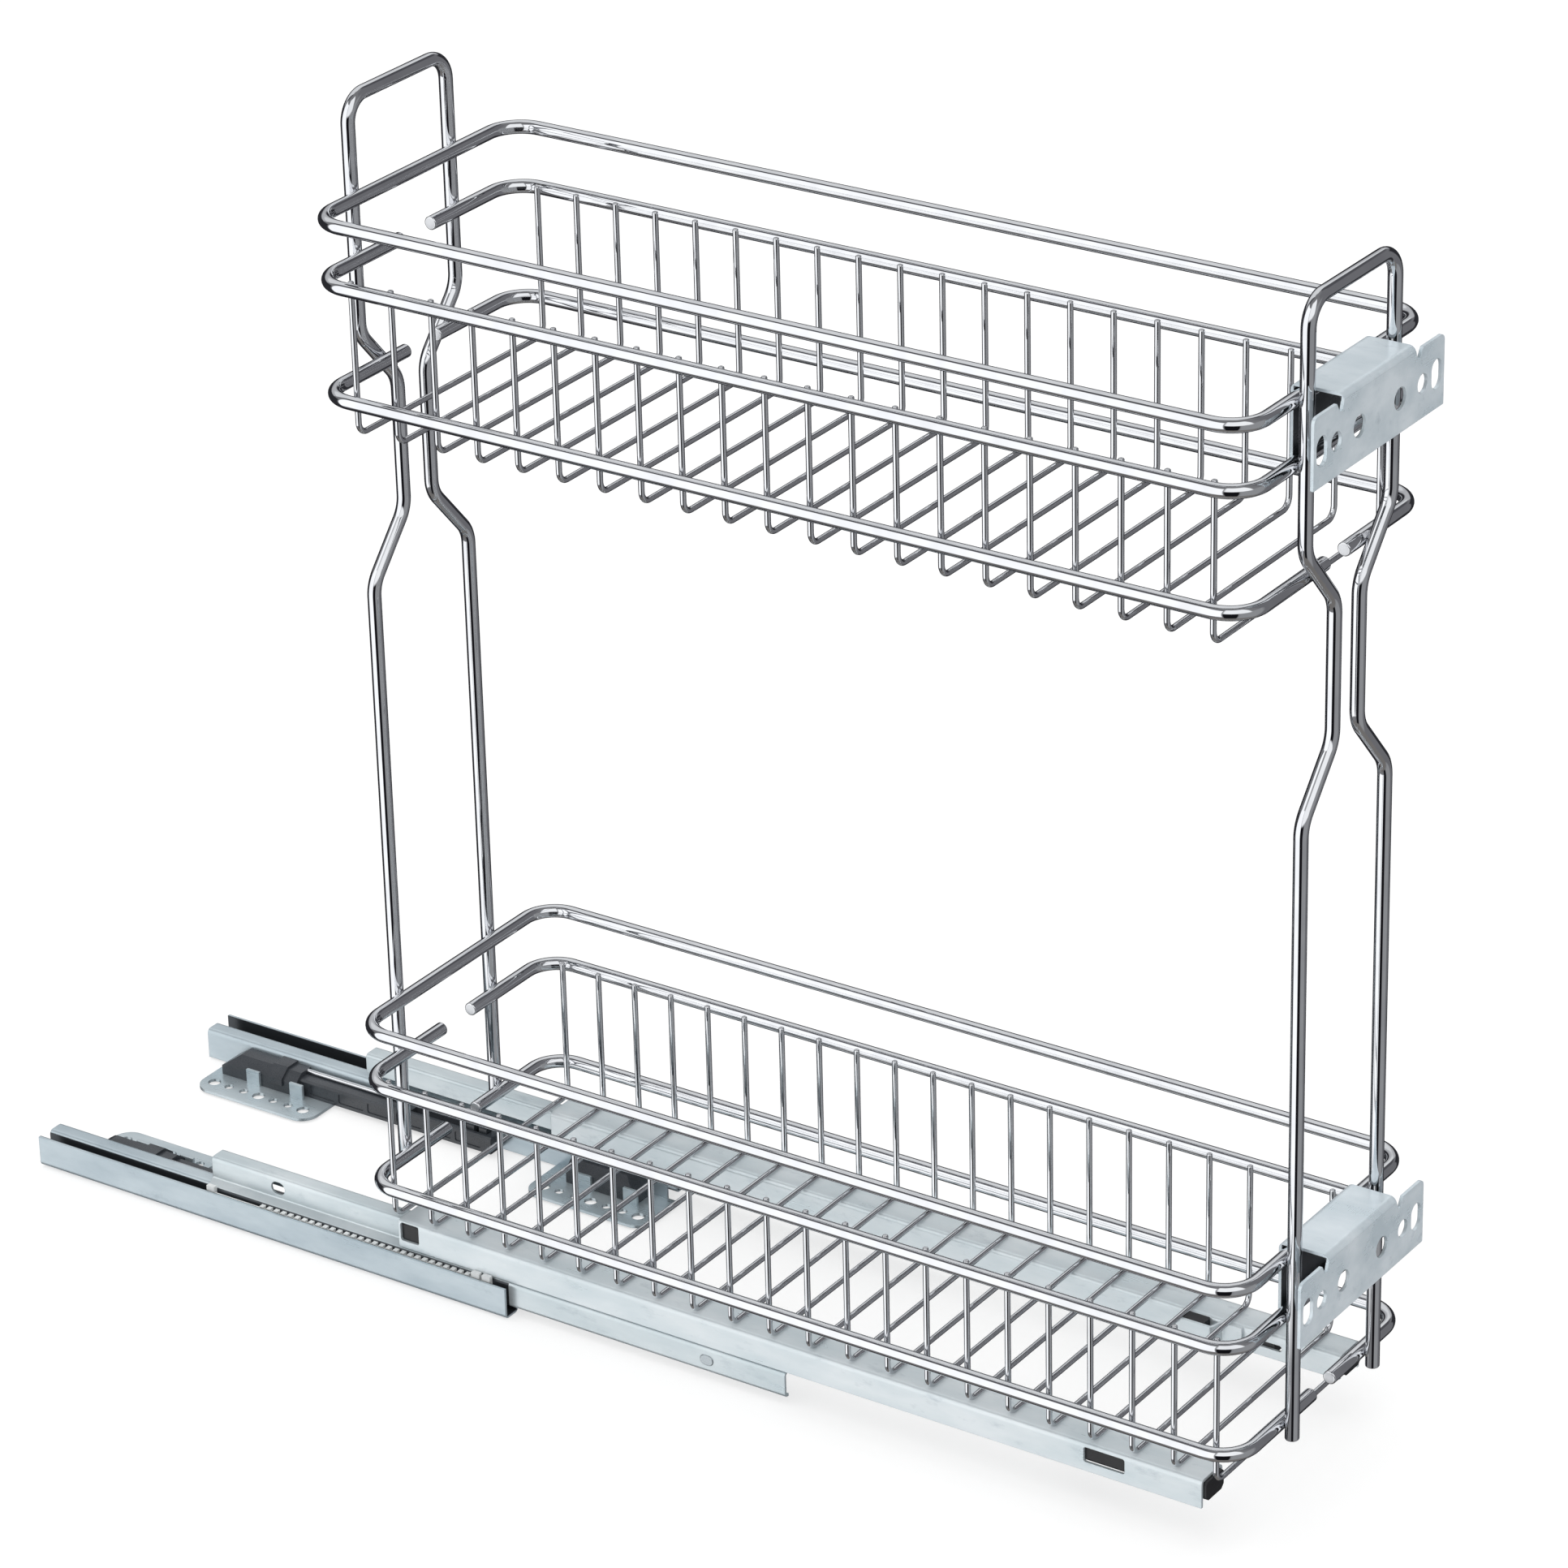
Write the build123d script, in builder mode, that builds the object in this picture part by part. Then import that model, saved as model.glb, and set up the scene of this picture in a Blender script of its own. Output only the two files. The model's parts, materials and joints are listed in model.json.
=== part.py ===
from build123d import *
import os

# Pull-out spice rack: two wire baskets between two bent wire frames, on a carriage that runs on two
# ball slides. Millimetres, +Z up, the door side at -Y, the fixed rails at +Y. z = 0 is the cabinet
# floor and x = y = 0 is the middle of the outline, with the carriage pulled all the way out.

# Wires
thick_wire = 6.5
thin_wire = 2.8
weld_sink = 0.15
wire_end_round = 0.7

# Baskets, between the centrelines of their rails
basket_length = 470.0
basket_width = 148.0
basket_corner = 16.0
side_height = 53.5
guard_height = 28.5
floor_drop = 16.4
basket_spacing = 398.3
mid_rail_rear_gap = 22.0
bottom_rail_rear_gap = 22.0
bottom_rail_front_gap = 16.0
cross_bend = 5.5
cross_wire_stands_above = 2.4
upper_wire_count = 21
lower_wire_count = 22
upper_end_gap = 17.0
lower_end_gap = 12.3

# End frames
leg_spacing = 72.0
waist_spacing = 21.0
frame_bend = 12.0
handle_rise = 43.5
waist_below_basket = 14.0
waist_length = 64.0
jog_height = 29.0
leg_tail = 6.0

# Door brackets
bracket_sheet = 1.6
bracket_width = 109.0
bracket_height = 34.0
bracket_wing_step = 2.5
bracket_depth_in_front = 20.0
bracket_neck_width = 60.0
bracket_rear_height = 38.0
bracket_bend = 2.6
bracket_top_corner = 3.0
bracket_bottom_corner = 5.5
bracket_notch_width = 6.0
bracket_notch_depth = 4.2
bracket_hole_drop = 18.6
inner_hole_spacing = 34.0
inner_hole_diameter = 10.0
round_hole_spacing = 72.0
round_hole_diameter = 8.6
slot_spacing = 96.0
slot_width = 8.8
slot_height = 13.4

# Slides: lengths along Y
fixed_length = 282.0
middle_length = 334.0
travel = 217.5
middle_travel = 102.0
carrier_setback = 19.0
carrier_rear_setback = 14.0

# Slides: sheet sections, measured outwards from x = 0 and up from the cabinet floor
rail_sheet = 1.5
middle_sheet = 1.2
carrier_sheet = 1.4
rail_bend = 1.6
middle_bend = 1.4
slide_half_width = 75.0
fixed_outer_height = 16.0
fixed_box_height = 15.7
fixed_slot_width = 7.0
fixed_box_width = 9.5
ball_gap_lower = 3.1
ball_gap_upper = 3.0
middle_bottom_gap = 2.6
middle_lip = 2.4
carrier_bottom_gap = 2.0
carrier_height = 14.0
carrier_width = 18.0
carrier_inner_height = 12.0
middle_under_carrier = 0.35
middle_inner_gap = 2.4
middle_inner_height = 10.3
middle_jog_height = 3.0

# Slides: holes, windows and plastic pieces
middle_hole_from_rear = 40.0
middle_hole_length = 8.2
middle_hole_height = 6.6
rivet_from_front = 43.0
rivet_diameter = 7.4
rivet_head = 0.5
window_from_front = 39.0
window_length = 21.0
window_height = 7.6
window_below_top = 1.9
window_corner = 1.2
rear_cut_length = 13.0
rear_cut_height = 9.5
inner_slot_from_front = 30.0
inner_slot_length = 16.0
inner_slot_height = 3.2
plastic_clearance = 0.25
front_cap_length = 9.0
front_cap_nose = 1.6
front_cap_height = 11.0
rear_block_length = 20.0
lock_block_length = 30.0
ball_diameter_clearance = 0.3
cage_sheet = 0.9
cage_tooth_pitch = 4.2
cage_tooth_length = 2.3
cage_tooth_height = 1.4
cage_stands_above = 0.5
cage_height = 5.4
cage_ball_pitch = 9.2
cage_front_clearance = 10.0
cage_rear_clearance = 1.5
cage_end_block = 4.5
cage_block_gap = 1.6
cage_block_rise = 2.0
cage_plain_length = 26.0
cage_side_clearance = 0.35

# Wire hooks on the inner side of the carriers
hook_from_front = 83.0
hook_length = 22.0
hook_sheet = 1.5
hook_height = 9.0
hook_pad_length = 14.0
hook_jog = 5.0

# Base plates and soft-close dampers
plate_sheet = 1.5
plate_width = 31.0
plate_corner = 9.0
rear_plate_length = 72.0
rear_plate_setback = 14.0
front_plate_length = 72.0
front_plate_overhang = 7.5
plate_hole_diameter = 6.4
plate_small_hole_diameter = 4.6
plate_hole_margin = 7.0
plate_hole_pitch = 28.0
plate_small_hole_step = 9.3
plate_hole_row = 9.0
post_width = 8.0
post_height = 8.0
post_first = 25.7
post_pitch = 27.2
block_width = 12.6
block_height = 11.2
block_shoulder_width = 5.0
block_shoulder_drop = 4.0
block_lift = 5.0
block_slope = 9.0
block_setback = 5.0
block_length = 47.0
clip_length = 9.0
clip_sheet = 1.3
clip_leg = 3.5
damper_length = 118.0
damper_height = 8.8
damper_width = 9.6
damper_gap = 0.4
damper_rib = 1.0
damper_end_wall = 4.0
damper_panel_pitch = 18.0
damper_panel_count = 6
rod_diameter = 2.4
catch_length = 12.0
catch_width = 4.0
catch_travel = 34.0
catch_clearance = 0.3
catch_groove_depth = 2.6
catch_stands_above = 2.4
catch_notch = 3.0
front_foot_setback = 14.0
front_foot_length = 42.0

# Heights of the rails and frames, built up from the slides
carrier_top = fixed_outer_height + carrier_bottom_gap + carrier_height
floor_wire_z = carrier_top + thin_wire / 2
lower_bottom_z = floor_wire_z + floor_drop
upper_bottom_z = lower_bottom_z + basket_spacing
rail_half = thick_wire / 2
cross_leg_x = basket_width / 2 - (thick_wire + thin_wire) / 2 + weld_sink
frame_offset = thick_wire - weld_sink

# Places along Y
front_reach = basket_length / 2 + bracket_depth_in_front
rear_reach = basket_length / 2 - carrier_rear_setback + travel
basket_y = (front_reach - rear_reach) / 2
rail_front_y = basket_y - basket_length / 2
rail_rear_y = basket_y + basket_length / 2
plate_face_y = basket_y - front_reach
carrier_front_y = rail_front_y + carrier_setback
carrier_rear_y = rail_rear_y - carrier_rear_setback
carrier_length = carrier_rear_y - carrier_front_y
fixed_rear_y = carrier_rear_y + travel
fixed_front_y = fixed_rear_y - fixed_length
middle_rear_y = fixed_rear_y - middle_travel
middle_front_y = middle_rear_y - middle_length

# Places across the slide, from the outer wall inwards (sheet centrelines)
fixed_outer_x = slide_half_width - rail_sheet / 2
fixed_box_outer_x = fixed_outer_x - rail_sheet - fixed_slot_width
fixed_box_inner_x = fixed_box_outer_x - fixed_box_width + rail_sheet
fixed_inner_face_x = fixed_box_inner_x - rail_sheet / 2
middle_lower_x = fixed_outer_x - (rail_sheet + middle_sheet) / 2 - ball_gap_lower
carrier_outer_x = middle_lower_x + (middle_sheet - carrier_sheet) / 2
middle_upper_x = carrier_outer_x - (carrier_sheet + middle_sheet) / 2 - ball_gap_upper
carrier_inner_x = carrier_outer_x - carrier_width + carrier_sheet
middle_inner_x = carrier_inner_x + (carrier_sheet + middle_sheet) / 2 + middle_inner_gap

# Heights across the slide
carrier_bottom = carrier_top - carrier_height
middle_top = carrier_top - carrier_sheet - middle_under_carrier
middle_bottom = rail_sheet + middle_bottom_gap
middle_jog_top = carrier_bottom + 1.0
middle_jog_bottom = middle_jog_top - middle_jog_height


def save(piece, name):
    piece.part.label = name
    export_step(piece.part, f"parts/{name}.step")


def bent_wire(plane, points, bend, diameter, closed=False):
    """Round wire along straight runs joined by tangent bends, its two cut ends slightly rounded."""
    with BuildPart() as wire:
        with BuildLine(plane) as path:
            FilletPolyline(*points, radius=bend, close=closed)
        route = path.wires()[0]
        with BuildSketch(Plane(origin=route @ 0, z_dir=route % 0)):
            Circle(diameter / 2)
        sweep()
        if not closed:
            cut_ends = wire.faces().filter_by(GeomType.PLANE)
            fillet(cut_ends.edges(), radius=min(wire_end_round, 0.45 * diameter))
    return wire


def make_top_rail(basket, bottom_z):
    """Closed guard rail round the top of a basket."""
    half = basket_width / 2
    corners = [(-half, rail_rear_y), (-half, rail_front_y), (half, rail_front_y), (half, rail_rear_y)]
    level = Plane.XY.offset(bottom_z + side_height + guard_height)
    save(bent_wire(level, corners, basket_corner, thick_wire, closed=True), f"{basket}_top_rail")


def make_middle_rail(basket, bottom_z):
    """Rail that ends the basket's sides, open between the rear legs."""
    half = basket_width / 2
    gap = mid_rail_rear_gap / 2
    points = [(-gap, rail_rear_y), (-half, rail_rear_y), (-half, rail_front_y)]
    points += [(half, rail_front_y), (half, rail_rear_y), (gap, rail_rear_y)]
    level = Plane.XY.offset(bottom_z + side_height)
    save(bent_wire(level, points, basket_corner, thick_wire), f"{basket}_middle_rail")


def make_bottom_rails(basket, bottom_z):
    """Two halves that stop short of each other between the legs at both ends."""
    half = basket_width / 2
    rear_gap = bottom_rail_rear_gap / 2
    front_gap = bottom_rail_front_gap / 2
    for side, side_name in ((-1, "left"), (1, "right")):
        points = [(side * rear_gap, rail_rear_y), (side * half, rail_rear_y)]
        points += [(side * half, rail_front_y), (side * front_gap, rail_front_y)]
        rail = bent_wire(Plane.XY.offset(bottom_z), points, basket_corner, thick_wire)
        save(rail, f"{basket}_bottom_rail_{side_name}")


def make_cross_wires(basket, bottom_z, count, end_gap):
    """U-shaped thin wires: across the floor, up inside the bottom rails, to just above the middle rail."""
    top = bottom_z + side_height + cross_wire_stands_above
    floor = bottom_z - floor_drop
    points = [(-cross_leg_x, top), (-cross_leg_x, floor), (cross_leg_x, floor), (cross_leg_x, top)]
    one_wire = bent_wire(Plane.XZ, points, cross_bend, thin_wire)
    pitch = (basket_length - 2 * end_gap) / (count - 1)
    with BuildPart() as wires:
        with Locations((0, basket_y, 0)):
            with GridLocations(1, pitch, 1, count):
                add(one_wire.part)
    save(wires, f"{basket}_cross_wires")


def make_end_frame(name, frame_y):
    """Bent wire frame: handle loop, outer legs, narrow waist between the baskets, outer legs again."""
    leg = leg_spacing / 2
    waist = waist_spacing / 2
    loop_top = upper_bottom_z + side_height + guard_height + handle_rise
    waist_top = upper_bottom_z - waist_below_basket
    waist_bottom = waist_top - waist_length
    right = [(leg, loop_top), (leg, waist_top + jog_height), (waist, waist_top)]
    right += [(waist, waist_bottom), (leg, waist_bottom - jog_height), (leg, lower_bottom_z - leg_tail)]
    left = [(-x, z) for x, z in reversed(right)]
    save(bent_wire(Plane.XZ.offset(-frame_y), left + right, frame_bend, thick_wire), name)


def make_door_bracket(basket, bottom_z):
    """Sheet saddle over the front ends of the rails: drilled door plate, top flange, rear plate."""
    top_rail_z = bottom_z + side_height + guard_height
    flange_top = top_rail_z + rail_half + bracket_sheet
    plate_y = plate_face_y + bracket_sheet / 2
    rear_y = rail_front_y + rail_half + bracket_sheet / 2
    wing_top = flange_top - bracket_wing_step
    plate_bottom = flange_top - bracket_height
    hole_z = flange_top - bracket_hole_drop
    with BuildPart() as bracket:
        with BuildSketch(Plane.YZ.offset(-bracket_neck_width / 2)):
            with BuildLine():
                FilletPolyline(
                    (plate_y, plate_bottom + bracket_bottom_corner),
                    (plate_y, flange_top - bracket_sheet / 2),
                    (rear_y, flange_top - bracket_sheet / 2),
                    (rear_y, flange_top - bracket_rear_height),
                    radius=bracket_bend,
                )
            trace(line_width=bracket_sheet)
        extrude(amount=bracket_neck_width)
        with BuildSketch(Plane.XZ.offset(-plate_face_y)) as door_plate:
            with Locations((0, (wing_top + plate_bottom) / 2)):
                Rectangle(bracket_width, wing_top - plate_bottom)
            corners = door_plate.vertices().group_by(Axis.Y)
            fillet(corners[-1], radius=bracket_top_corner)
            fillet(corners[0], radius=bracket_bottom_corner)
        extrude(amount=-bracket_sheet)
        with BuildSketch(Plane.XZ.offset(-plate_face_y)):
            with Locations((0, hole_z)):
                with GridLocations(slot_spacing, 1, 2, 1):
                    SlotOverall(slot_height, slot_width, rotation=90)
                with GridLocations(round_hole_spacing, 1, 2, 1):
                    Circle(round_hole_diameter / 2)
                with GridLocations(inner_hole_spacing, 1, 2, 1):
                    Circle(inner_hole_diameter / 2)
        extrude(amount=-bracket_sheet, mode=Mode.SUBTRACT)
        for side in (-1, 1):
            neck_edge = bracket_neck_width / 2
            with BuildSketch(Plane.XZ.offset(-plate_face_y)):
                with BuildLine():
                    Polyline(
                        (side * neck_edge, wing_top + bracket_sheet),
                        (side * (neck_edge + bracket_notch_width), wing_top + bracket_sheet),
                        (side * (neck_edge + bracket_notch_width), wing_top),
                        (side * (neck_edge + 0.6 * bracket_notch_width), wing_top - bracket_notch_depth),
                        (side * (neck_edge + 0.2 * bracket_notch_width), wing_top - bracket_notch_depth),
                        (side * neck_edge, wing_top),
                        close=True,
                    )
                make_face()
            extrude(amount=-bracket_sheet, mode=Mode.SUBTRACT)
    save(bracket, f"{basket}_door_bracket")


def make_fixed_rail(side, side_name):
    """Cabinet member: outer wall, floor of the ball track, and a raised box on the inner side."""
    floor = rail_sheet / 2
    box_top = fixed_box_height - rail_sheet / 2
    with BuildPart() as rail:
        with BuildSketch(Plane.XZ.offset(-fixed_rear_y)):
            with BuildLine():
                FilletPolyline(
                    (side * fixed_outer_x, fixed_outer_height),
                    (side * fixed_outer_x, floor),
                    (side * fixed_box_outer_x, floor),
                    (side * fixed_box_outer_x, box_top),
                    (side * fixed_box_inner_x, box_top),
                    (side * fixed_box_inner_x, 0),
                    radius=rail_bend,
                )
            trace(line_width=rail_sheet)
        extrude(amount=fixed_length)
    save(rail, f"fixed_rail_{side_name}")


def make_middle_rail_member(side, side_name):
    """Middle member: lipped lower web in the fixed track, jogged inwards to an upper channel."""
    with BuildPart() as member:
        with BuildSketch(Plane.XZ.offset(-middle_rear_y)):
            with BuildLine():
                FilletPolyline(
                    (side * (middle_lower_x - middle_lip), middle_bottom + middle_sheet / 2),
                    (side * middle_lower_x, middle_bottom + middle_sheet / 2),
                    (side * middle_lower_x, middle_jog_bottom),
                    (side * middle_upper_x, middle_jog_top),
                    (side * middle_upper_x, middle_top - middle_sheet / 2),
                    (side * middle_inner_x, middle_top - middle_sheet / 2),
                    (side * middle_inner_x, middle_top - middle_inner_height),
                    radius=middle_bend,
                )
            trace(line_width=middle_sheet)
        extrude(amount=middle_length)
        hole_z = (middle_jog_top + middle_top) / 2
        with BuildSketch(Plane.YZ.offset(side * middle_upper_x)):
            with Locations((middle_rear_y - middle_hole_from_rear, hole_z)):
                SlotOverall(middle_hole_length, middle_hole_height)
        extrude(amount=middle_sheet, both=True, mode=Mode.SUBTRACT)
    save(member, f"middle_rail_{side_name}")


def make_middle_rivet(side, side_name):
    """Oval stop rivet on the lower web of the middle member, clear of the fixed member's wall."""
    web_height = middle_jog_bottom - middle_bottom
    outer_face = middle_lower_x + middle_sheet / 2
    rivet_z = middle_bottom + middle_bend + (web_height - middle_bend) / 2
    with BuildPart() as rivet:
        with BuildSketch(Plane.YZ.offset(side * outer_face)):
            with Locations((middle_front_y + rivet_from_front, rivet_z)):
                SlotOverall(rivet_diameter, 0.7 * rivet_diameter)
        extrude(amount=side * rivet_head)
        outer_edges = rivet.faces().sort_by(Axis.X)[-1 if side > 0 else 0].edges()
        chamfer(outer_edges, length=0.6 * rivet_head)
    save(rivet, f"middle_rivet_{side_name}")


def make_carrier_rail(side, side_name):
    """Carriage member: an inverted channel with a window, an inner slot and a cut rear corner."""
    web_top = carrier_top - carrier_sheet / 2
    outer_face = carrier_outer_x + carrier_sheet / 2
    inner_face = carrier_inner_x - carrier_sheet / 2
    window_z = carrier_top - window_below_top - window_height / 2
    with BuildPart() as rail:
        with BuildSketch(Plane.XZ.offset(-carrier_rear_y)):
            with BuildLine():
                FilletPolyline(
                    (side * carrier_outer_x, carrier_bottom),
                    (side * carrier_outer_x, web_top),
                    (side * carrier_inner_x, web_top),
                    (side * carrier_inner_x, carrier_top - carrier_inner_height),
                    radius=rail_bend,
                )
            trace(line_width=carrier_sheet)
        extrude(amount=carrier_length)
        with BuildSketch(Plane.YZ.offset(side * outer_face)):
            with Locations((carrier_front_y + window_from_front + window_length / 2, window_z)):
                RectangleRounded(window_length, window_height, window_corner)
            with Locations((carrier_rear_y - rear_cut_length / 2, window_z)):
                RectangleRounded(rear_cut_length - 2 * window_corner, rear_cut_height, window_corner)
        extrude(amount=-side * carrier_sheet, mode=Mode.SUBTRACT)
        with BuildSketch(Plane.YZ.offset(side * inner_face)):
            with Locations((carrier_front_y + inner_slot_from_front + inner_slot_length / 2, window_z)):
                RectangleRounded(inner_slot_length, inner_slot_height, window_corner)
        extrude(amount=side * carrier_sheet, mode=Mode.SUBTRACT)
    save(rail, f"carrier_rail_{side_name}")


def channel_block(side, front_y, rear_y, bottom_z):
    """Plastic block that fills the carrier's channel above the middle member's reach."""
    outer = carrier_outer_x - carrier_sheet / 2
    inner = carrier_inner_x + carrier_sheet / 2
    top = carrier_top - carrier_sheet
    with BuildPart() as block:
        with BuildSketch(Plane.XZ.offset(-rear_y)) as end:
            with Locations((side * (outer + inner) / 2, (top + bottom_z) / 2)):
                Rectangle(outer - inner, top - bottom_z)
            chamfer(end.vertices().group_by(Axis.Y)[0], length=2.0)
            chamfer(end.vertices().group_by(Axis.Y)[-1], length=1.3)
        extrude(amount=rear_y - front_y)
    return block


def make_front_cap(side, side_name):
    """Black end cap in the front mouth of the carrier, standing a little proud of the sheet."""
    nose = carrier_front_y - front_cap_nose
    cap = channel_block(side, nose, carrier_front_y + front_cap_length, carrier_top - front_cap_height)
    save(cap, f"carrier_front_cap_{side_name}")


def make_rear_stop(side, side_name):
    """Black strip beside the carrier's outer wall, seen through the cut rear corner."""
    outer = carrier_outer_x - carrier_sheet / 2
    width = ball_gap_upper - plastic_clearance - cage_side_clearance
    bottom = middle_jog_top + plastic_clearance
    top = carrier_top - rail_bend - plastic_clearance
    with BuildPart() as stop:
        with BuildSketch(Plane.XZ.offset(-carrier_rear_y)):
            with Locations((side * (outer - width / 2), (top + bottom) / 2)):
                Rectangle(width, top - bottom)
        extrude(amount=rear_block_length)
    save(stop, f"carrier_rear_stop_{side_name}")


def make_lock_block(side, side_name):
    """Black block inside the carrier behind the window."""
    front = carrier_front_y + window_from_front - (lock_block_length - window_length) / 2
    bottom = carrier_top - window_below_top - window_height - 1.0
    block = channel_block(side, front, front + lock_block_length, bottom)
    save(block, f"carrier_lock_block_{side_name}")


def make_wire_hook(side, side_name):
    """Steel tab on the carrier's inner wall: a foot, a jog inwards and a round-ended finger."""
    wall = carrier_inner_x - (carrier_sheet + hook_sheet) / 2
    finger = wall - hook_sheet - hook_jog
    rear = carrier_front_y + hook_from_front
    bend_y = rear - hook_length
    foot_front = bend_y - hook_length / 2
    top = carrier_top - plastic_clearance
    with BuildPart() as hook:
        with BuildSketch(Plane.XY.offset(top - hook_height)):
            with BuildLine():
                FilletPolyline(
                    (side * wall, foot_front),
                    (side * wall, bend_y),
                    (side * finger, bend_y + hook_sheet),
                    (side * finger, rear),
                    radius=rail_bend,
                )
            trace(line_width=hook_sheet)
        extrude(amount=hook_height)
        tip = hook.faces().sort_by(Axis.Y)[-1]
        fillet(tip.edges().filter_by(Axis.X), radius=0.45 * hook_height)
    save(hook, f"wire_hook_{side_name}")
    pad_outer = carrier_inner_x - carrier_sheet / 2
    pad_inner = finger + hook_sheet / 2
    with BuildPart() as pad:
        with BuildSketch(Plane.XY.offset(top - hook_height / 2)):
            with Locations((side * (pad_outer + pad_inner) / 2, rear - 2.0 - hook_pad_length / 2)):
                RectangleRounded(pad_outer - pad_inner, hook_pad_length, 0.8)
        extrude(amount=hook_height / 2)
    save(pad, f"hook_pad_{side_name}")


def make_ball_set(level, side, side_name, gap_x, gap, tooth_top, rise, front_y, rear_y):
    """Plastic ball cage in the gap between two members, and its row of steel balls.

    From the front: two end blocks, a toothed run, a plain run and the rear end block.
    """
    body_top = tooth_top - cage_tooth_height
    body_bottom = body_top - cage_height
    ball_z = (body_top + body_bottom) / 2
    block_width = gap - 2 * cage_side_clearance
    length = rear_y - front_y
    middle_y = (front_y + rear_y) / 2
    front_blocks = 2 * cage_end_block + cage_block_gap
    teeth_length = length - front_blocks - cage_end_block - cage_plain_length
    tooth_count = int(teeth_length / cage_tooth_pitch)
    teeth_y = front_y + front_blocks + teeth_length / 2
    ball_count = int((length - 2 * front_blocks) / cage_ball_pitch)
    ball_diameter = gap - ball_diameter_clearance
    half_block = cage_end_block / 2
    second_block = front_y + cage_block_gap + 3 * half_block
    block_places = [front_y + half_block, second_block, rear_y - half_block]
    with BuildPart() as cage:
        with BuildSketch(Plane.XY.offset(body_bottom)):
            with Locations((side * gap_x, middle_y)):
                Rectangle(cage_sheet, length)
        extrude(amount=cage_height)
        with BuildSketch(Plane.XY.offset(body_top)):
            with Locations((side * gap_x, teeth_y)):
                with GridLocations(1, cage_tooth_pitch, 1, tooth_count):
                    Rectangle(block_width, cage_tooth_length)
        extrude(amount=cage_tooth_height)
        with BuildSketch(Plane.XY.offset(body_bottom)):
            with Locations(*[(side * gap_x, y) for y in block_places]):
                Rectangle(block_width, cage_end_block)
        extrude(amount=cage_height + cage_tooth_height + rise)
        with BuildSketch(Plane.YZ.offset(side * gap_x)):
            with Locations((middle_y, ball_z)):
                with GridLocations(cage_ball_pitch, 1, ball_count, 1):
                    Circle(ball_diameter / 2 + 0.1)
        extrude(amount=cage_sheet, both=True, mode=Mode.SUBTRACT)
    save(cage, f"{level}_ball_cage_{side_name}")
    with BuildPart() as balls:
        with Locations((side * gap_x, middle_y, ball_z)):
            with GridLocations(1, cage_ball_pitch, 1, ball_count):
                Sphere(ball_diameter / 2)
    save(balls, f"{level}_balls_{side_name}")


def make_ball_sets(side, side_name):
    """The lower set runs between fixed and middle members, the upper between middle and carrier."""
    lower_x = middle_lower_x + (middle_sheet + ball_gap_lower) / 2
    lower_top = fixed_outer_height + cage_stands_above
    lower_front = fixed_front_y + cage_front_clearance
    lower_rear = middle_rear_y - cage_rear_clearance
    lower = (lower_x, ball_gap_lower, lower_top, cage_block_rise, lower_front, lower_rear)
    make_ball_set("lower", side, side_name, *lower)
    upper_x = middle_upper_x + (middle_sheet + ball_gap_upper) / 2
    upper_top = middle_top - middle_bend
    upper_front = middle_front_y + cage_front_clearance
    upper_rear = carrier_rear_y - rear_block_length - cage_rear_clearance
    upper = (upper_x, ball_gap_upper, upper_top, 0.0, upper_front, upper_rear)
    make_ball_set("upper", side, side_name, *upper)


def make_base_plate(where, side, side_name, rear_y, length, post_places):
    """Drilled floor plate beside the fixed rail's box, with posts bent up to hold a plastic block."""
    outer = fixed_inner_face_x
    inner = outer - plate_width
    post_x = outer - damper_gap - block_width - plate_sheet / 2
    row_x = inner + plate_hole_row
    big_places = [plate_hole_margin + plate_hole_pitch * i for i in range(3)]
    small_places = [big + plate_small_hole_step * i for big in big_places[:2] for i in (1, 2)]
    with BuildPart() as plate:
        with BuildSketch() as outline:
            with Locations((side * (outer + inner) / 2, rear_y - length / 2)):
                Rectangle(plate_width, length)
            inner_corners = outline.vertices().group_by(Axis.X)[0 if side > 0 else -1]
            fillet(inner_corners, radius=plate_corner)
            with Locations(*[(side * row_x, rear_y - place) for place in big_places]):
                Circle(plate_hole_diameter / 2, mode=Mode.SUBTRACT)
            with Locations(*[(side * row_x, rear_y - place) for place in small_places]):
                Circle(plate_small_hole_diameter / 2, mode=Mode.SUBTRACT)
        extrude(amount=plate_sheet)
        with BuildSketch(Plane.XY.offset(plate_sheet)):
            with Locations(*[(side * post_x, rear_y - place) for place in post_places]):
                Rectangle(plate_sheet, post_width)
        extrude(amount=post_height)
    save(plate, f"{where}_base_plate_{side_name}")


def make_plastic_block(name, side, rear_y, length, slope_at_rear):
    """Grey block between a base plate's posts and the rail, one end sloping, its shoulder bevelled."""
    top = plate_sheet + block_height
    low = plate_sheet + block_lift
    front_y = rear_y - length
    slope_end, square_end = (rear_y, front_y) if slope_at_rear else (front_y, rear_y)
    step = block_slope if slope_at_rear else -block_slope
    outer = fixed_inner_face_x - damper_gap
    inner = outer - block_width
    with BuildPart() as block:
        with BuildSketch(Plane.YZ.offset(min(side * outer, side * inner))):
            with BuildLine():
                Polyline(
                    (slope_end, plate_sheet),
                    (slope_end, low),
                    (slope_end - step, top),
                    (square_end, top),
                    (square_end, plate_sheet),
                    close=True,
                )
            make_face()
        extrude(amount=block_width)
        with BuildSketch(Plane.XZ.offset(-rear_y)):
            with BuildLine():
                Polyline(
                    (side * inner, top - block_shoulder_drop),
                    (side * (inner + block_shoulder_width), top),
                    (side * inner, top),
                    close=True,
                )
            make_face()
        extrude(amount=length, mode=Mode.SUBTRACT)
    save(block, name)


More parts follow.
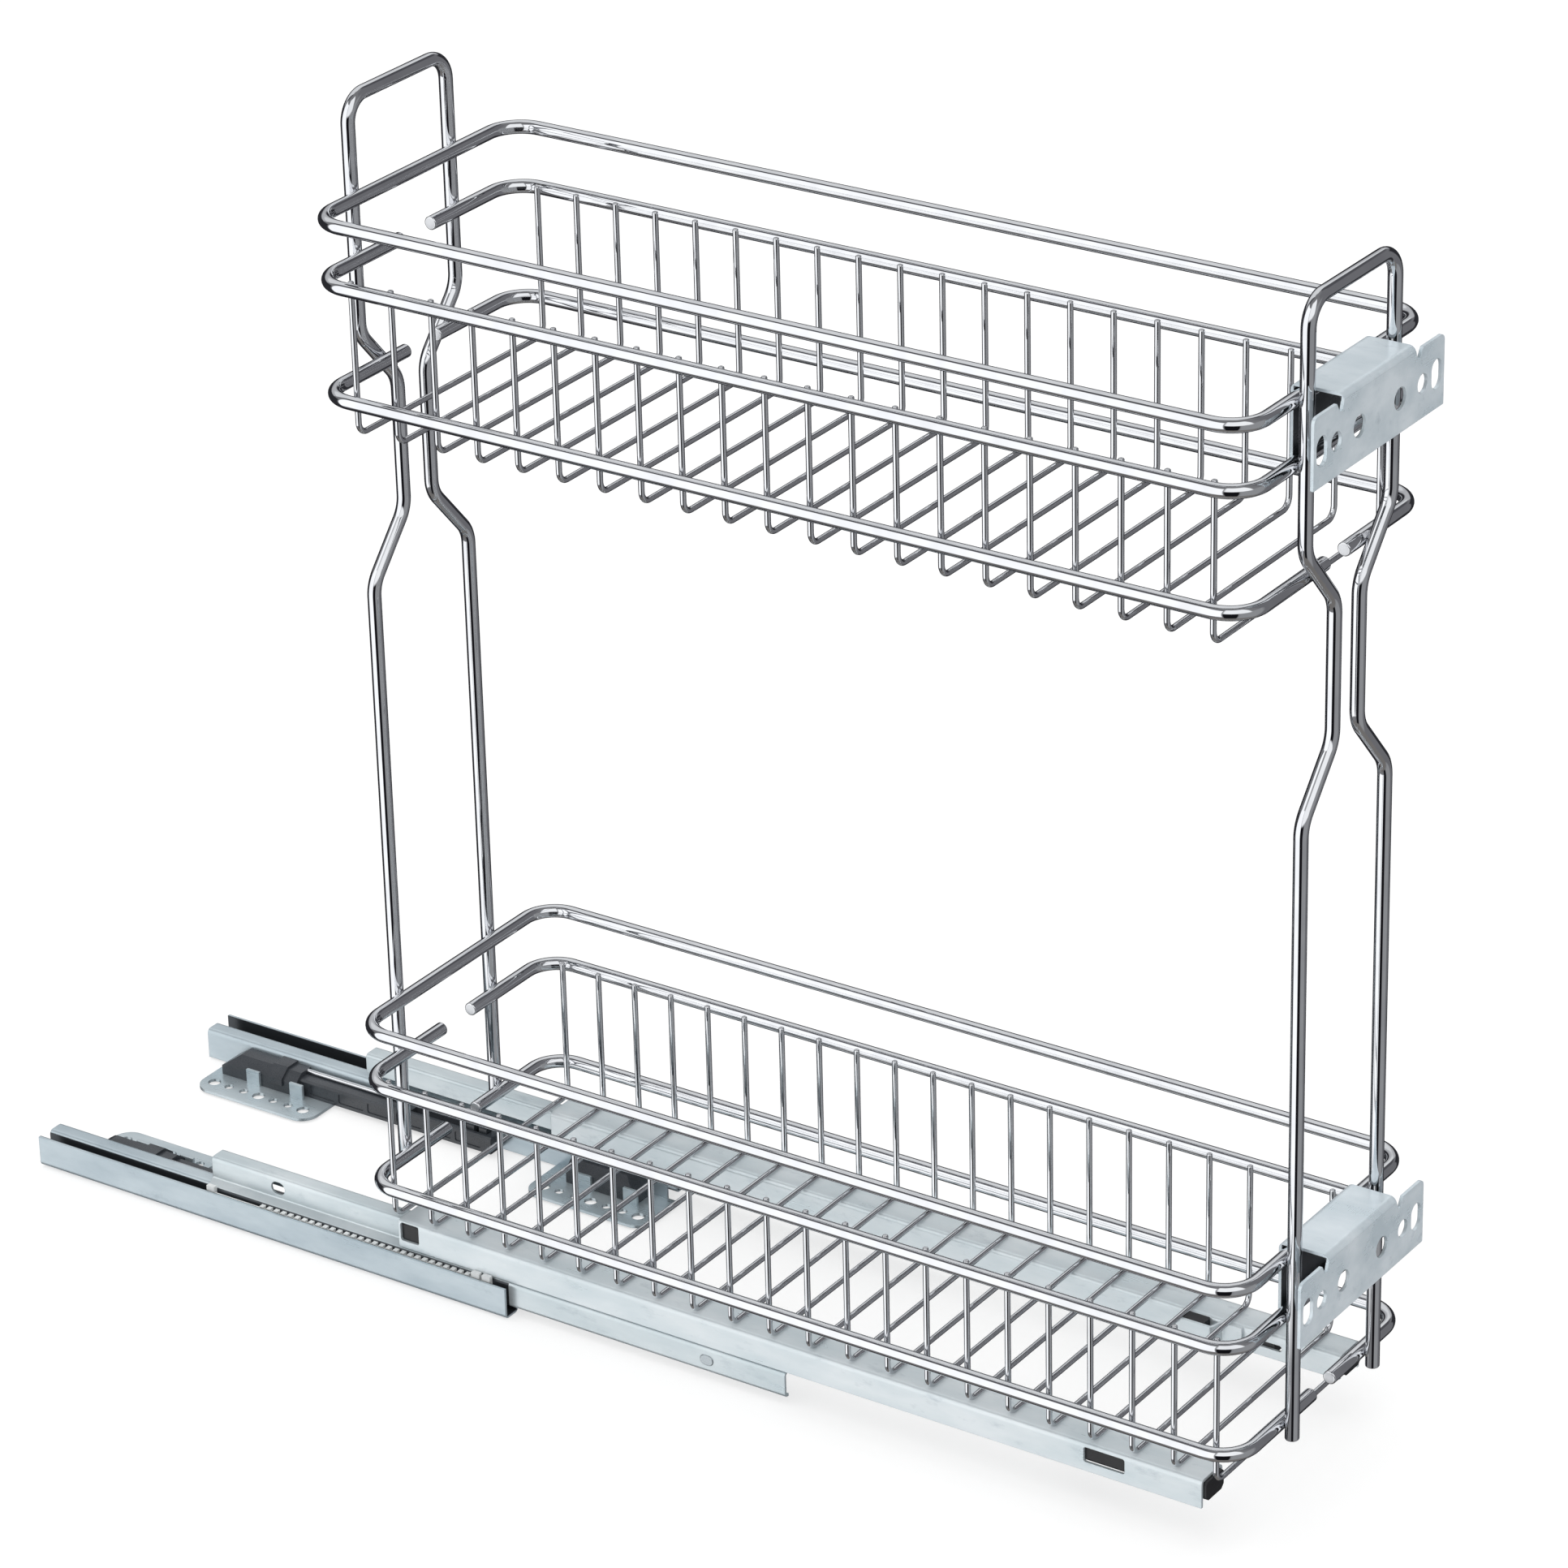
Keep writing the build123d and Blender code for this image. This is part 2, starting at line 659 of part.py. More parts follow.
def make_damper(side, side_name):
    """Soft-close unit along the fixed rail: rear block, clip, housing, steel rod and catch."""
    outer = fixed_inner_face_x - damper_gap
    inner = outer - block_width
    plate_rear = fixed_rear_y - rear_plate_setback
    block_rear = plate_rear - block_setback
    block_front = block_rear - block_length
    make_plastic_block(f"damper_block_{side_name}", side, block_rear, block_length, True)

    top = plate_sheet + block_height
    clip_y = plate_rear - post_first - post_pitch / 2
    clip_wall = clip_sheet - damper_gap / 2
    shoulder_x = inner + block_shoulder_width
    shoulder_z = top - block_shoulder_drop
    with BuildPart() as clip:
        with BuildSketch(Plane.XZ.offset(-(clip_y + clip_length / 2))):
            with BuildLine():
                Polyline(
                    (side * (outer + damper_gap / 2), top - clip_leg),
                    (side * (outer + damper_gap / 2), top + clip_sheet),
                    (side * (shoulder_x - clip_sheet / 4), top + clip_sheet),
                    (side * (inner - clip_wall), shoulder_z + clip_sheet / 2),
                    (side * (inner - clip_wall), top - 2 * clip_leg),
                    (side * inner, top - 2 * clip_leg),
                    (side * inner, shoulder_z),
                    (side * shoulder_x, top),
                    (side * outer, top),
                    (side * outer, top - clip_leg),
                    close=True,
                )
            make_face()
        extrude(amount=clip_length)
    save(clip, f"damper_clip_{side_name}")

    housing_inner = outer - damper_width
    housing_mid = (outer + housing_inner) / 2
    housing_top = plate_sheet + damper_height
    housing_front = block_front - damper_length
    groove_length = catch_length + catch_travel + 2 * catch_clearance
    groove_front = housing_front + damper_end_wall
    rod_x = outer - rod_diameter / 2
    rod_rear = block_front
    rod_front = groove_front + groove_length + damper_end_wall
    with BuildPart() as housing:
        with BuildSketch(Plane.XZ.offset(-block_front)) as end:
            with Locations((side * housing_mid, (housing_top + plate_sheet) / 2)):
                Rectangle(damper_width, damper_height)
            chamfer(end.vertices().group_by(Axis.Y)[-1], length=damper_rib)
        extrude(amount=damper_length)
        with BuildSketch(Plane.XY.offset(housing_top)):
            with Locations((side * housing_mid, groove_front + groove_length / 2)):
                Rectangle(catch_width + 2 * catch_clearance, groove_length)
        extrude(amount=-catch_groove_depth - catch_clearance, mode=Mode.SUBTRACT)
        with BuildSketch(Plane.YZ.offset(side * housing_inner)):
            with Locations((block_front - damper_length / 2, (housing_top + plate_sheet) / 2)):
                with GridLocations(damper_panel_pitch, 1, damper_panel_count, 1):
                    RectangleRounded(damper_panel_pitch - 2.5, damper_height - 3.5, 1.0)
        extrude(amount=side * damper_rib / 2, mode=Mode.SUBTRACT)
    save(housing, f"damper_housing_{side_name}")

    with BuildPart() as rod:
        with BuildSketch(Plane.XZ.offset(-rod_rear)):
            with Locations((side * (rod_x - damper_rib), housing_top + rod_diameter / 2)):
                Circle(rod_diameter / 2)
        extrude(amount=rod_rear - rod_front)
    save(rod, f"damper_rod_{side_name}")

    with BuildPart() as catch:
        with BuildSketch(Plane.XY.offset(housing_top - catch_groove_depth)):
            with Locations((side * housing_mid, groove_front + catch_clearance + catch_length / 2)):
                Rectangle(catch_width, catch_length)
        extrude(amount=catch_groove_depth + catch_stands_above)
        with BuildSketch(Plane.YZ.offset(side * housing_mid)):
            with Locations((groove_front + catch_clearance + catch_length / 2, housing_top)):
                Rectangle(catch_notch, 2 * catch_stands_above)
        extrude(amount=catch_width, both=True, mode=Mode.SUBTRACT)
    save(catch, f"damper_catch_{side_name}")


def make_base(side, side_name):
    """The two base plates of one fixed rail and the foot block on the front one."""
    rear_y = fixed_rear_y - rear_plate_setback
    posts = [post_first, post_first + post_pitch]
    make_base_plate("rear", side, side_name, rear_y, rear_plate_length, posts)
    front_rear_y = fixed_front_y - front_plate_overhang + front_plate_length
    make_base_plate("front", side, side_name, front_rear_y, front_plate_length, posts)
    foot_rear = front_rear_y - front_foot_setback
    make_plastic_block(f"front_foot_{side_name}", side, foot_rear, front_foot_length, False)


def run_all():
    for basket, bottom_z, count, end_gap in (
        ("upper", upper_bottom_z, upper_wire_count, upper_end_gap),
        ("lower", lower_bottom_z, lower_wire_count, lower_end_gap),
    ):
        make_top_rail(basket, bottom_z)
        make_middle_rail(basket, bottom_z)
        make_bottom_rails(basket, bottom_z)
        make_cross_wires(basket, bottom_z, count, end_gap)
        make_door_bracket(basket, bottom_z)
    make_end_frame("front_frame", rail_front_y - frame_offset)
    make_end_frame("rear_frame", rail_rear_y + frame_offset)
    for side, side_name in ((-1, "left"), (1, "right")):
        make_fixed_rail(side, side_name)
        make_middle_rail_member(side, side_name)
        make_middle_rivet(side, side_name)
        make_carrier_rail(side, side_name)
        make_front_cap(side, side_name)
        make_rear_stop(side, side_name)
        make_lock_block(side, side_name)
        make_wire_hook(side, side_name)
        make_ball_sets(side, side_name)
        make_base(side, side_name)
        make_damper(side, side_name)


os.makedirs("parts", exist_ok=True)
run_all()
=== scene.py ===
"""Studio scene of the pull-out spice rack. Metres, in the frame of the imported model.

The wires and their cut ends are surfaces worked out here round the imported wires' places. The
slide members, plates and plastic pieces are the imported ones, finished here.
"""

import json
import math

import bpy
import numpy as np
from mathutils import Matrix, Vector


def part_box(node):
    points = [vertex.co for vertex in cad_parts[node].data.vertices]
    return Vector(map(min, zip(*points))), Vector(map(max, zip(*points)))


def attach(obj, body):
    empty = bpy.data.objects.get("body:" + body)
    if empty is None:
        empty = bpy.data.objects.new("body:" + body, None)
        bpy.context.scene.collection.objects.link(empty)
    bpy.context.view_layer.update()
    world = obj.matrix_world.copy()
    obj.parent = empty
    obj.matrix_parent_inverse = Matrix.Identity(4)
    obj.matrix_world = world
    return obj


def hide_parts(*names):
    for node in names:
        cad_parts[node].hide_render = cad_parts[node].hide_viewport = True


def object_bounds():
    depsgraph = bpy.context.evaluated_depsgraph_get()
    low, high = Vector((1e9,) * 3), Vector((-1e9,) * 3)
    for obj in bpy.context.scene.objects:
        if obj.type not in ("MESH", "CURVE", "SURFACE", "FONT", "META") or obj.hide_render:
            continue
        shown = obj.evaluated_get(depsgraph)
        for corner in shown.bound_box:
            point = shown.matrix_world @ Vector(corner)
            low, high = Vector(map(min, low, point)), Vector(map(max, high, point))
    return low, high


MM = 0.001

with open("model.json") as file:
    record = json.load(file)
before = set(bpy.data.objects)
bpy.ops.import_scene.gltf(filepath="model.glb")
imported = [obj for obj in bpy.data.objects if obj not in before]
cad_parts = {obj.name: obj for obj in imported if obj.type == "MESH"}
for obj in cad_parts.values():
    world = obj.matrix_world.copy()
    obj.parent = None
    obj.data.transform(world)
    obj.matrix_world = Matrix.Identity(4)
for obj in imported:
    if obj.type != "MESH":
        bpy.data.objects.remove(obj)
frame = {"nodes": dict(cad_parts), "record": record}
cad_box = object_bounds()

# Wires: diameters, bend radii at the wire's middle, the easing of a cut end
THICK = 6.5 * MM
THIN = 2.8 * MM
RAIL_CORNER = 16.0 * MM
FRAME_BEND = 12.0 * MM
WAIST_BEND = 16.0 * MM
CROSS_BEND = 5.5 * MM
END_ROUND = 0.7 * MM
END_TIP = 0.001 * MM

# How finely a wire is drawn
ARC_STEPS = 14
END_RINGS = 6
THICK_SIDES = 36
THIN_SIDES = 20

# Baskets: gaps where the rails are open, and the thin wires in each
MIDDLE_REAR_GAP = 22.0 * MM
BOTTOM_REAR_GAP = 22.0 * MM
BOTTOM_FRONT_GAP = 16.0 * MM
WIRE_COUNTS = {"upper": 21, "lower": 22}

# End frames: the narrow waist between the baskets and the slanted runs above and below it
WAIST_X = 10.5 * MM
WAIST_TOP_BELOW_RAIL = 14.0 * MM
WAIST_LENGTH = 64.0 * MM
JOG_HEIGHT = 29.0 * MM

# Slides and door brackets, and how far the painted shade pockets reach past or short of their
# walls
FIXED_SHEET = 1.5 * MM
TRACK_WIDTH = 7.0 * MM
BRACKET_SHEET = 1.6 * MM
BRACKET_NECK = 60.0 * MM
WALL_REACH = 0.3 * MM
TRACK_FLOOR = 1.0 * MM
TRACK_RISE = 0.7 * MM
FOLD_LIP = 0.2 * MM
POCKET_EDGE = 0.05 * MM
PAST_ALL = 1.0

# Patterns: features per metre along x, y and z, detail, roughness, and the span stretched to 0..1
ROLLED_STREAKS = ((1600, 14, 1600), 2.0, 0.55, (0.30, 0.70))
CROSS_STREAKS = ((14, 1600, 1600), 2.0, 0.55, (0.30, 0.70))
SHEET_CLOUDS = ((45, 18, 60), 4.0, 0.55, (0.32, 0.68))
SHEET_STAINS = ((130, 50, 130), 5.0, 0.70, (0.58, 0.76))
WIRE_SMUDGES = ((70, 70, 70), 4.0, 0.55, (0.42, 0.72))
WIRE_SPECKS = ((1500, 1500, 1500), 2.0, 0.55, (0.68, 0.78))
ORANGE_PEEL = ((140, 140, 140), 2.0, 0.55)
FLOW_CLOUDS = ((90, 40, 90), 3.0, 0.55, (0.35, 0.70))
SPARK_GRAIN = ((2600, 2600, 2600), 2.0, 0.55)
GRAIN_SPAN = (0.30, 0.70)

# Reliefs: depth of each pattern, its share in each finish, and the ease of a sheet's edges
CLOUD_DEPTH = 0.4 * MM
PEEL_DEPTH = 0.3 * MM
GRAIN_DEPTH = 0.1 * MM
SHEET_RELIEF = 0.04
SAWN_RELIEF = 0.5
MOULDED_RELIEF = 0.25
EASED_EDGE = 0.35 * MM
EASED_SAMPLES = 4

# Polished metal: relief, and roughness where clean and where smudged
POLISHES = {
    "chrome_wire": (0.006, (0.015, 0.045)),
    "bright_rod": (0.04, (0.12, 0.20)),
    "bearing_ball": (0.0, (0.06, 0.10)),
}
CHROME_CLEAN = (0.77, 0.78, 0.80)
CHROME_SMUDGED = (0.70, 0.71, 0.735)
DUST_ROUGHNESS = 0.08
SAWN_PALE = (0.66, 0.67, 0.69)
SAWN_DULL = (0.50, 0.51, 0.53)
SAWN_ROUGHNESS = (0.32, 0.50)

# Zinc on sheet: bare metal's share, roughness from and to, dark and light shade
ZINC_SHADES = {
    "slide": (0.45, (0.27, 0.32), (0.64, 0.72, 0.75), (0.82, 0.87, 0.89)),
    "middle_rail": (0.50, (0.27, 0.32), (0.56, 0.64, 0.67), (0.76, 0.82, 0.84)),
    "plate": (0.55, (0.26, 0.29), (0.44, 0.52, 0.56), (0.66, 0.73, 0.76)),
    "rivet": (0.90, (0.16, 0.22), (0.36, 0.40, 0.43), (0.46, 0.50, 0.52)),
    "fixed_rail": (0.50, (0.27, 0.32), (0.42, 0.50, 0.55), (0.60, 0.68, 0.72)),
    "bracket": (0.30, (0.26, 0.31), (0.60, 0.69, 0.74), (0.82, 0.89, 0.93)),
}
STAIN_TINT = (0.78, 0.80, 0.82)
# Painted shade: dark colour laid in the deep pockets of rail tracks and bracket folds
POCKET_SHADE = (0.055, 0.062, 0.070)
STREAK_ROUGHNESS = 0.006

# Moulded plastic: dark and light shade, roughness from and to
PLASTICS = {
    "grey_plastic": ((0.038, 0.043, 0.050), (0.060, 0.066, 0.075), (0.24, 0.38)),
    "black_plastic": ((0.008, 0.008, 0.009), (0.014, 0.014, 0.016), (0.30, 0.46)),
    "white_plastic": ((0.72, 0.74, 0.74), (0.80, 0.81, 0.80), (0.34, 0.46)),
}

# Camera
CAMERA_PLACE = (-2.05264, -1.45634, 1.47128)
CAMERA_AZIMUTH = math.radians(-55.564)
CAMERA_ELEVATION = math.radians(25.674)
CAMERA_ROLL = math.radians(-1.4585)
CAMERA_LENS = 141.77
CAMERA_SENSOR = 36.0
CAMERA_REACH = 50.0

# Floor and plain light
WHITE = (1.0, 1.0, 1.0)
FLOOR_GAP = 1.0 * MM
FLOOR_HALF = 12.0
FLOOR_COLOUR = (0.86, 0.86, 0.865)
FLOOR_SEEN = (0.40, 0.398, 0.395)
FLOOR_LIFT = 0.66
SKY_COLOUR = (0.97, 0.985, 1.0)
SKY_LIGHT = 0.50

# Broad lamps: azimuth and height of each, how wide it stands in the sky, and its strength
SKY_LAMPS = [
    ("overhead_softbox", 150.0, 72.0, 80.0, 1.35),
    ("door_side_softbox", -110.0, 30.0, 60.0, 0.55),
    ("right_softbox", 20.0, 35.0, 70.0, 0.5),
]

# The room as polished metal sees it: azimuth from +X and height in degrees, then its soft edge in
# degrees and its colour. A later panel lies over an earlier one.
ROOM_GREY = (0.22, 0.22, 0.228)
ROOM_PANELS = [
    ("table_shade", (-180, 180), (-90, -48), 8, (0.20, 0.19, 0.182)),
    ("right_wall", (-72, 4), (-55, 60), 8, (0.175, 0.175, 0.187)),
    ("door_side_wall", (-128, -62), (-55, 22), 10, (0.32, 0.325, 0.335)),
    ("rear_corner", (-22, 118), (-66, 18), 5, (0.030, 0.030, 0.035)),
    ("rear_low_panel", (0, 96), (18, 28), 6, (0.52, 0.525, 0.54)),
    ("rear_high_panel", (4, 98), (28, 78), 6, (0.80, 0.81, 0.82)),
    ("right_flag", (-24, 4), (30, 62), 6, (0.09, 0.09, 0.10)),
    ("door_side_softbox", (-166, -96), (12, 66), 6, (1.10, 1.11, 1.12)),
    ("rear_flag", (98, 130), (46, 80), 4, (0.10, 0.10, 0.11)),
    ("left_softbox", (122, 190), (-37, 50), 3, (1.28, 1.29, 1.30)),
    ("black_flag", (-167, -130), (-56, 8), 3, (0.008, 0.008, 0.010)),
]


# Surfaces


def rounded_path(points, bend, closed=False):
    """Points of straight runs whose corners are arcs, each in equal steps.

    The bend radius is one for all corners or one for each point. An arc's point is its centre
    plus the cosine of the turn along the first radius and the sine of it along the first run.
    """
    points = np.asarray(points, float)
    count = len(points)
    bends = np.broadcast_to(bend, count)
    out = [] if closed else [points[:1]]
    corners = range(count) if closed else range(1, count - 1)
    steps = np.linspace(0.0, 1.0, ARC_STEPS + 1)[:, None]
    for i in corners:
        before, here, after = points[i - 1], points[i], points[(i + 1) % count]
        towards = (before - here) / np.linalg.norm(before - here)
        away = (after - here) / np.linalg.norm(after - here)
        turn = math.pi - math.acos(float(np.clip(towards @ away, -1, 1)))
        middle = (towards + away) / np.linalg.norm(towards + away)
        centre = here + middle * bends[i] / math.cos(turn / 2)
        start = here + towards * bends[i] * math.tan(turn / 2) - centre
        side = -towards - start * (start @ -towards) / (start @ start)
        side = side / np.linalg.norm(side) * bends[i]
        out.append(centre + start * np.cos(steps * turn) + side * np.sin(steps * turn))
    if not closed:
        out.append(points[-1:])
    return np.vstack(out)


def cut_ends(line, radius):
    """Line with close rings at both ends, its radii, and its tangents.

    From the tip the radius opens across the flat face, then along a quarter circle of END_ROUND:
    its sine opens the radius and one less its cosine goes along the wire.
    """
    first = (line[1] - line[0]) / np.linalg.norm(line[1] - line[0])
    last = (line[-1] - line[-2]) / np.linalg.norm(line[-1] - line[-2])
    quarter = np.linspace(0, math.pi / 2, END_RINGS)
    opening = np.minimum(radius - END_ROUND + END_ROUND * np.sin(quarter), radius)
    depth = END_ROUND * (1 - np.cos(quarter))
    start = line[0] + first * depth[:, None]
    end = line[-1] - last * depth[::-1, None]
    straight = np.full(len(line) - 2, radius)
    line = np.vstack([line[:1], start, line[1:-1], end, line[-1:]])
    radii = np.concatenate([[END_TIP], opening, straight, opening[::-1], [END_TIP]])
    tangent = np.gradient(line, axis=0)
    tangent[: END_RINGS + 1] = first
    tangent[-END_RINGS - 1 :] = last
    return line, radii, tangent


def tube_mesh(name, lines, normal, radius, sides, closed=False):
    """Round tubes along planar lines: ring s, angle a is line(s) + r(s) (cos a N + sin a B(s)).

    N is the plane's normal and B = N x T. The flat faces of cut ends use the second material.
    """
    normal = np.asarray(normal, float)
    verts, faces, cut = [], [], []
    base = 0
    angle = np.linspace(0, 2 * math.pi, sides, endpoint=False)
    cosine, sine = np.cos(angle)[None, :, None], np.sin(angle)[None, :, None]
    for line in lines:
        if closed:
            tangent = np.roll(line, -1, 0) - np.roll(line, 1, 0)
            radii = np.full(len(line), radius)
        else:
            line, radii, tangent = cut_ends(line, radius)
        tangent /= np.linalg.norm(tangent, axis=1)[:, None]
        across = np.cross(normal, tangent)
        around = cosine * normal + sine * across[:, None, :]
        verts.append((line[:, None, :] + radii[:, None, None] * around).reshape(-1, 3))
        rings = len(line)
        s = np.arange(rings if closed else rings - 1)
        a = np.arange(sides)
        s, a = [grid.ravel() for grid in np.meshgrid(s, a, indexing="ij")]
        t = (s + 1) % rings
        b = (a + 1) % sides
        quads = [s * sides + a, s * sides + b, t * sides + b, t * sides + a]
        faces.append(np.stack(quads, 1) + base)
        cut.append(np.zeros(len(s), bool) if closed else (s == 0) | (s == rings - 2))
        base += rings * sides
    return build_mesh(name, np.vstack(verts), np.vstack(faces), np.concatenate(cut))


def build_mesh(name, verts, faces, second_slot=None, smooth=True):
    """Object with these corners and four-sided faces; faces marked second_slot use slot 2."""
    mesh = bpy.data.meshes.new(name)
    mesh.from_pydata(verts.tolist(), [], faces.tolist())
    mesh.polygons.foreach_set("use_smooth", np.full(len(faces), smooth))
    if second_slot is not None:
        mesh.polygons.foreach_set("material_index", second_slot.astype(np.int32))
    mesh.update()
    piece = bpy.data.objects.new(name, mesh)
    bpy.context.scene.collection.objects.link(piece)
    return piece


# Shader nodes


def spread(tree, value, low, high, out_low=0.0, out_high=1.0):
    """Value mapped from low..high to out_low..out_high, clamped."""
    node = tree.nodes.new("ShaderNodeMapRange")
    tree.links.new(value, node.inputs["Value"])
    node.inputs["From Min"].default_value = low
    node.inputs["From Max"].default_value = high
    node.inputs["To Min"].default_value = out_low
    node.inputs["To Max"].default_value = out_high
    return node.outputs["Result"]


def math_node(tree, operation, *items):
    """Maths node of sockets or numbers."""
    node = tree.nodes.new("ShaderNodeMath")
    node.operation = operation
    for index, item in enumerate(items):
        if isinstance(item, (int, float)):
            node.inputs[index].default_value = item
        else:
            tree.links.new(item, node.inputs[index])
    return node.outputs["Value"]


def product(tree, masks):
    """Masks multiplied together."""
    result = masks[0]
    for mask in masks[1:]:
        result = math_node(tree, "MULTIPLY", result, mask)
    return result


def mixed(tree, mask, under, over, mode="MIX"):
    """Colour over another by a mask. Each is three numbers or a socket."""
    node = tree.nodes.new("ShaderNodeMix")
    node.data_type = "RGBA"
    node.blend_type = mode
    tree.links.new(mask, node.inputs[0])
    for socket, colour in ((node.inputs[6], under), (node.inputs[7], over)):
        if isinstance(colour, tuple):
            socket.default_value = (*colour, 1)
        else:
            tree.links.new(colour, socket)
    return node.outputs[2]


def pattern(tree, per_metre, detail, rough, span=None):
    """Noise on object coordinates, its span of values stretched to 0..1 where one is given."""
    coords = tree.nodes.new("ShaderNodeTexCoord")
    mapping = tree.nodes.new("ShaderNodeMapping")
    mapping.inputs["Scale"].default_value = per_metre
    tree.links.new(coords.outputs["Object"], mapping.inputs["Vector"])
    noise = tree.nodes.new("ShaderNodeTexNoise")
    noise.inputs["Scale"].default_value = 1.0
    noise.inputs["Detail"].default_value = detail
    noise.inputs["Roughness"].default_value = rough
    tree.links.new(mapping.outputs["Vector"], noise.inputs["Vector"])
    value = noise.outputs["Fac"]
    return value if span is None else spread(tree, value, *span)


def bump(tree, height, strength, distance):
    """Bump node of a height, with a socket for its strength."""
    node = tree.nodes.new("ShaderNodeBump")
    node.inputs["Distance"].default_value = distance
    tree.links.new(height, node.inputs["Height"])
    tree.links.new(strength, node.inputs["Strength"])
    return node


def plain_shader(tree, kind, colour, strength=None):
    """Shader of one colour, with a strength where it gives light."""
    node = tree.nodes.new(kind)
    node.inputs["Color"].default_value = (*colour, 1)
    if strength is not None:
        node.inputs["Strength"].default_value = strength
    return node.outputs[0]


def chosen(tree, mask, first, second):
    """Shader that is the first where the mask is 0 and the second where it is 1."""
    node = tree.nodes.new("ShaderNodeMixShader")
    tree.links.new(mask, node.inputs[0])
    tree.links.new(first, node.inputs[1])
    tree.links.new(second, node.inputs[2])
    return node.outputs[0]


# Node groups shared by the finishes


def new_group(name, masks):
    """Empty node group that takes Relief and gives its masks and a Normal."""
    group = bpy.data.node_groups.new(name, "ShaderNodeTree")
    sockets = group.interface
    sockets.new_socket("Relief", in_out="INPUT", socket_type="NodeSocketFloat")
    for label in masks:
        sockets.new_socket(label, in_out="OUTPUT", socket_type="NodeSocketFloat")
    sockets.new_socket("Normal", in_out="OUTPUT", socket_type="NodeSocketVector")
    start = group.nodes.new("NodeGroupInput")
    end = group.nodes.new("NodeGroupOutput")
    return group, start, end


def put_out(group, end, **values):
    """Links values to the group's outputs of the same names."""
    for label, value in values.items():
        group.links.new(value, end.inputs[label])
    return group


def make_sheet_group(name, streaks):
    """Rolled zinc sheet with edges that look eased: soft clouds, faint streaks, a few stains.

    The streaks are noise stretched along the rolling direction.
    """
    group, start, end = new_group(name, ("Streak", "Cloud", "Stain"))
    streak = pattern(group, *streaks)
    cloud = pattern(group, *SHEET_CLOUDS)
    stain = pattern(group, *SHEET_STAINS)
    eased = group.nodes.new("ShaderNodeBevel")
    eased.samples = EASED_SAMPLES
    eased.inputs["Radius"].default_value = EASED_EDGE
    relief = bump(group, cloud, start.outputs["Relief"], CLOUD_DEPTH)
    group.links.new(eased.outputs["Normal"], relief.inputs["Normal"])
    return put_out(
        group, end, Streak=streak, Cloud=cloud, Stain=stain, Normal=relief.outputs["Normal"]
    )


def make_polish_group():
    """Chrome plate over drawn wire: faint orange peel, fine dust specks and soft smudges."""
    group, start, end = new_group("plated_wire", ("Smudge", "Speck"))
    smudge = pattern(group, *WIRE_SMUDGES)
    speck = pattern(group, *WIRE_SPECKS)
    relief = bump(group, pattern(group, *ORANGE_PEEL), start.outputs["Relief"], PEEL_DEPTH)
    return put_out(group, end, Smudge=smudge, Speck=speck, Normal=relief.outputs["Normal"])


def make_moulding_group():
    """Moulded plastic: spark-eroded grain and faint flow clouds."""
    group, start, end = new_group("moulded_grain", ("Grain", "Cloud"))
    grain = pattern(group, *SPARK_GRAIN)
    cloud = pattern(group, *FLOW_CLOUDS)
    relief = bump(group, grain, start.outputs["Relief"], GRAIN_DEPTH)
    return put_out(group, end, Grain=grain, Cloud=cloud, Normal=relief.outputs["Normal"])


SHEET = make_sheet_group("rolled_sheet", ROLLED_STREAKS)
CROSS_SHEET = make_sheet_group("cross_rolled_sheet", CROSS_STREAKS)
POLISH = make_polish_group()
MOULDING = make_moulding_group()


# Finishes


def new_material(name, group, relief):
    """Material with a Principled shader and one of the shared groups beside it."""
    material = bpy.data.materials.new(name)
    material.use_nodes = True
    tree = material.node_tree
    shader = tree.nodes["Principled BSDF"]
    effect = tree.nodes.new("ShaderNodeGroup")
    effect.node_tree = group
    effect.inputs["Relief"].default_value = relief
    tree.links.new(effect.outputs["Normal"], shader.inputs["Normal"])
    return material, tree, shader, effect


def make_chrome(name):
    """Bright metal, darker and duller where it is smudged, and dull on its dust specks."""
    relief, roughness = POLISHES[name]
    material, tree, shader, effect = new_material(name, POLISH, relief)
    shader.inputs["Metallic"].default_value = 1.0
    smudge = effect.outputs["Smudge"]
    colour = mixed(tree, smudge, CHROME_CLEAN, CHROME_SMUDGED)
    tree.links.new(colour, shader.inputs["Base Color"])
    dust = math_node(tree, "MULTIPLY", effect.outputs["Speck"], DUST_ROUGHNESS)
    rough = math_node(tree, "ADD", spread(tree, smudge, 0, 1, *roughness), dust)
    tree.links.new(rough, shader.inputs["Roughness"])
    return material


def make_cut_end():
    """Sawn wire end under the plate: greyer and rougher than the drawn surface."""
    material, tree, shader, effect = new_material("sawn_wire_end", POLISH, SAWN_RELIEF)
    shader.inputs["Metallic"].default_value = 1.0
    colour = mixed(tree, effect.outputs["Smudge"], SAWN_PALE, SAWN_DULL)
    tree.links.new(colour, shader.inputs["Base Color"])
    rough = spread(tree, effect.outputs["Speck"], 0, 1, *SAWN_ROUGHNESS)
    tree.links.new(rough, shader.inputs["Roughness"])
    return material


def span_mask(tree, value, low, high):
    """1 where a value lies between two limits, with a thin soft edge."""
    rise = spread(tree, value, low - POCKET_EDGE, low + POCKET_EDGE)
    fall = spread(tree, value, high - POCKET_EDGE, high + POCKET_EDGE, 1.0, 0.0)
    return product(tree, [rise, fall])


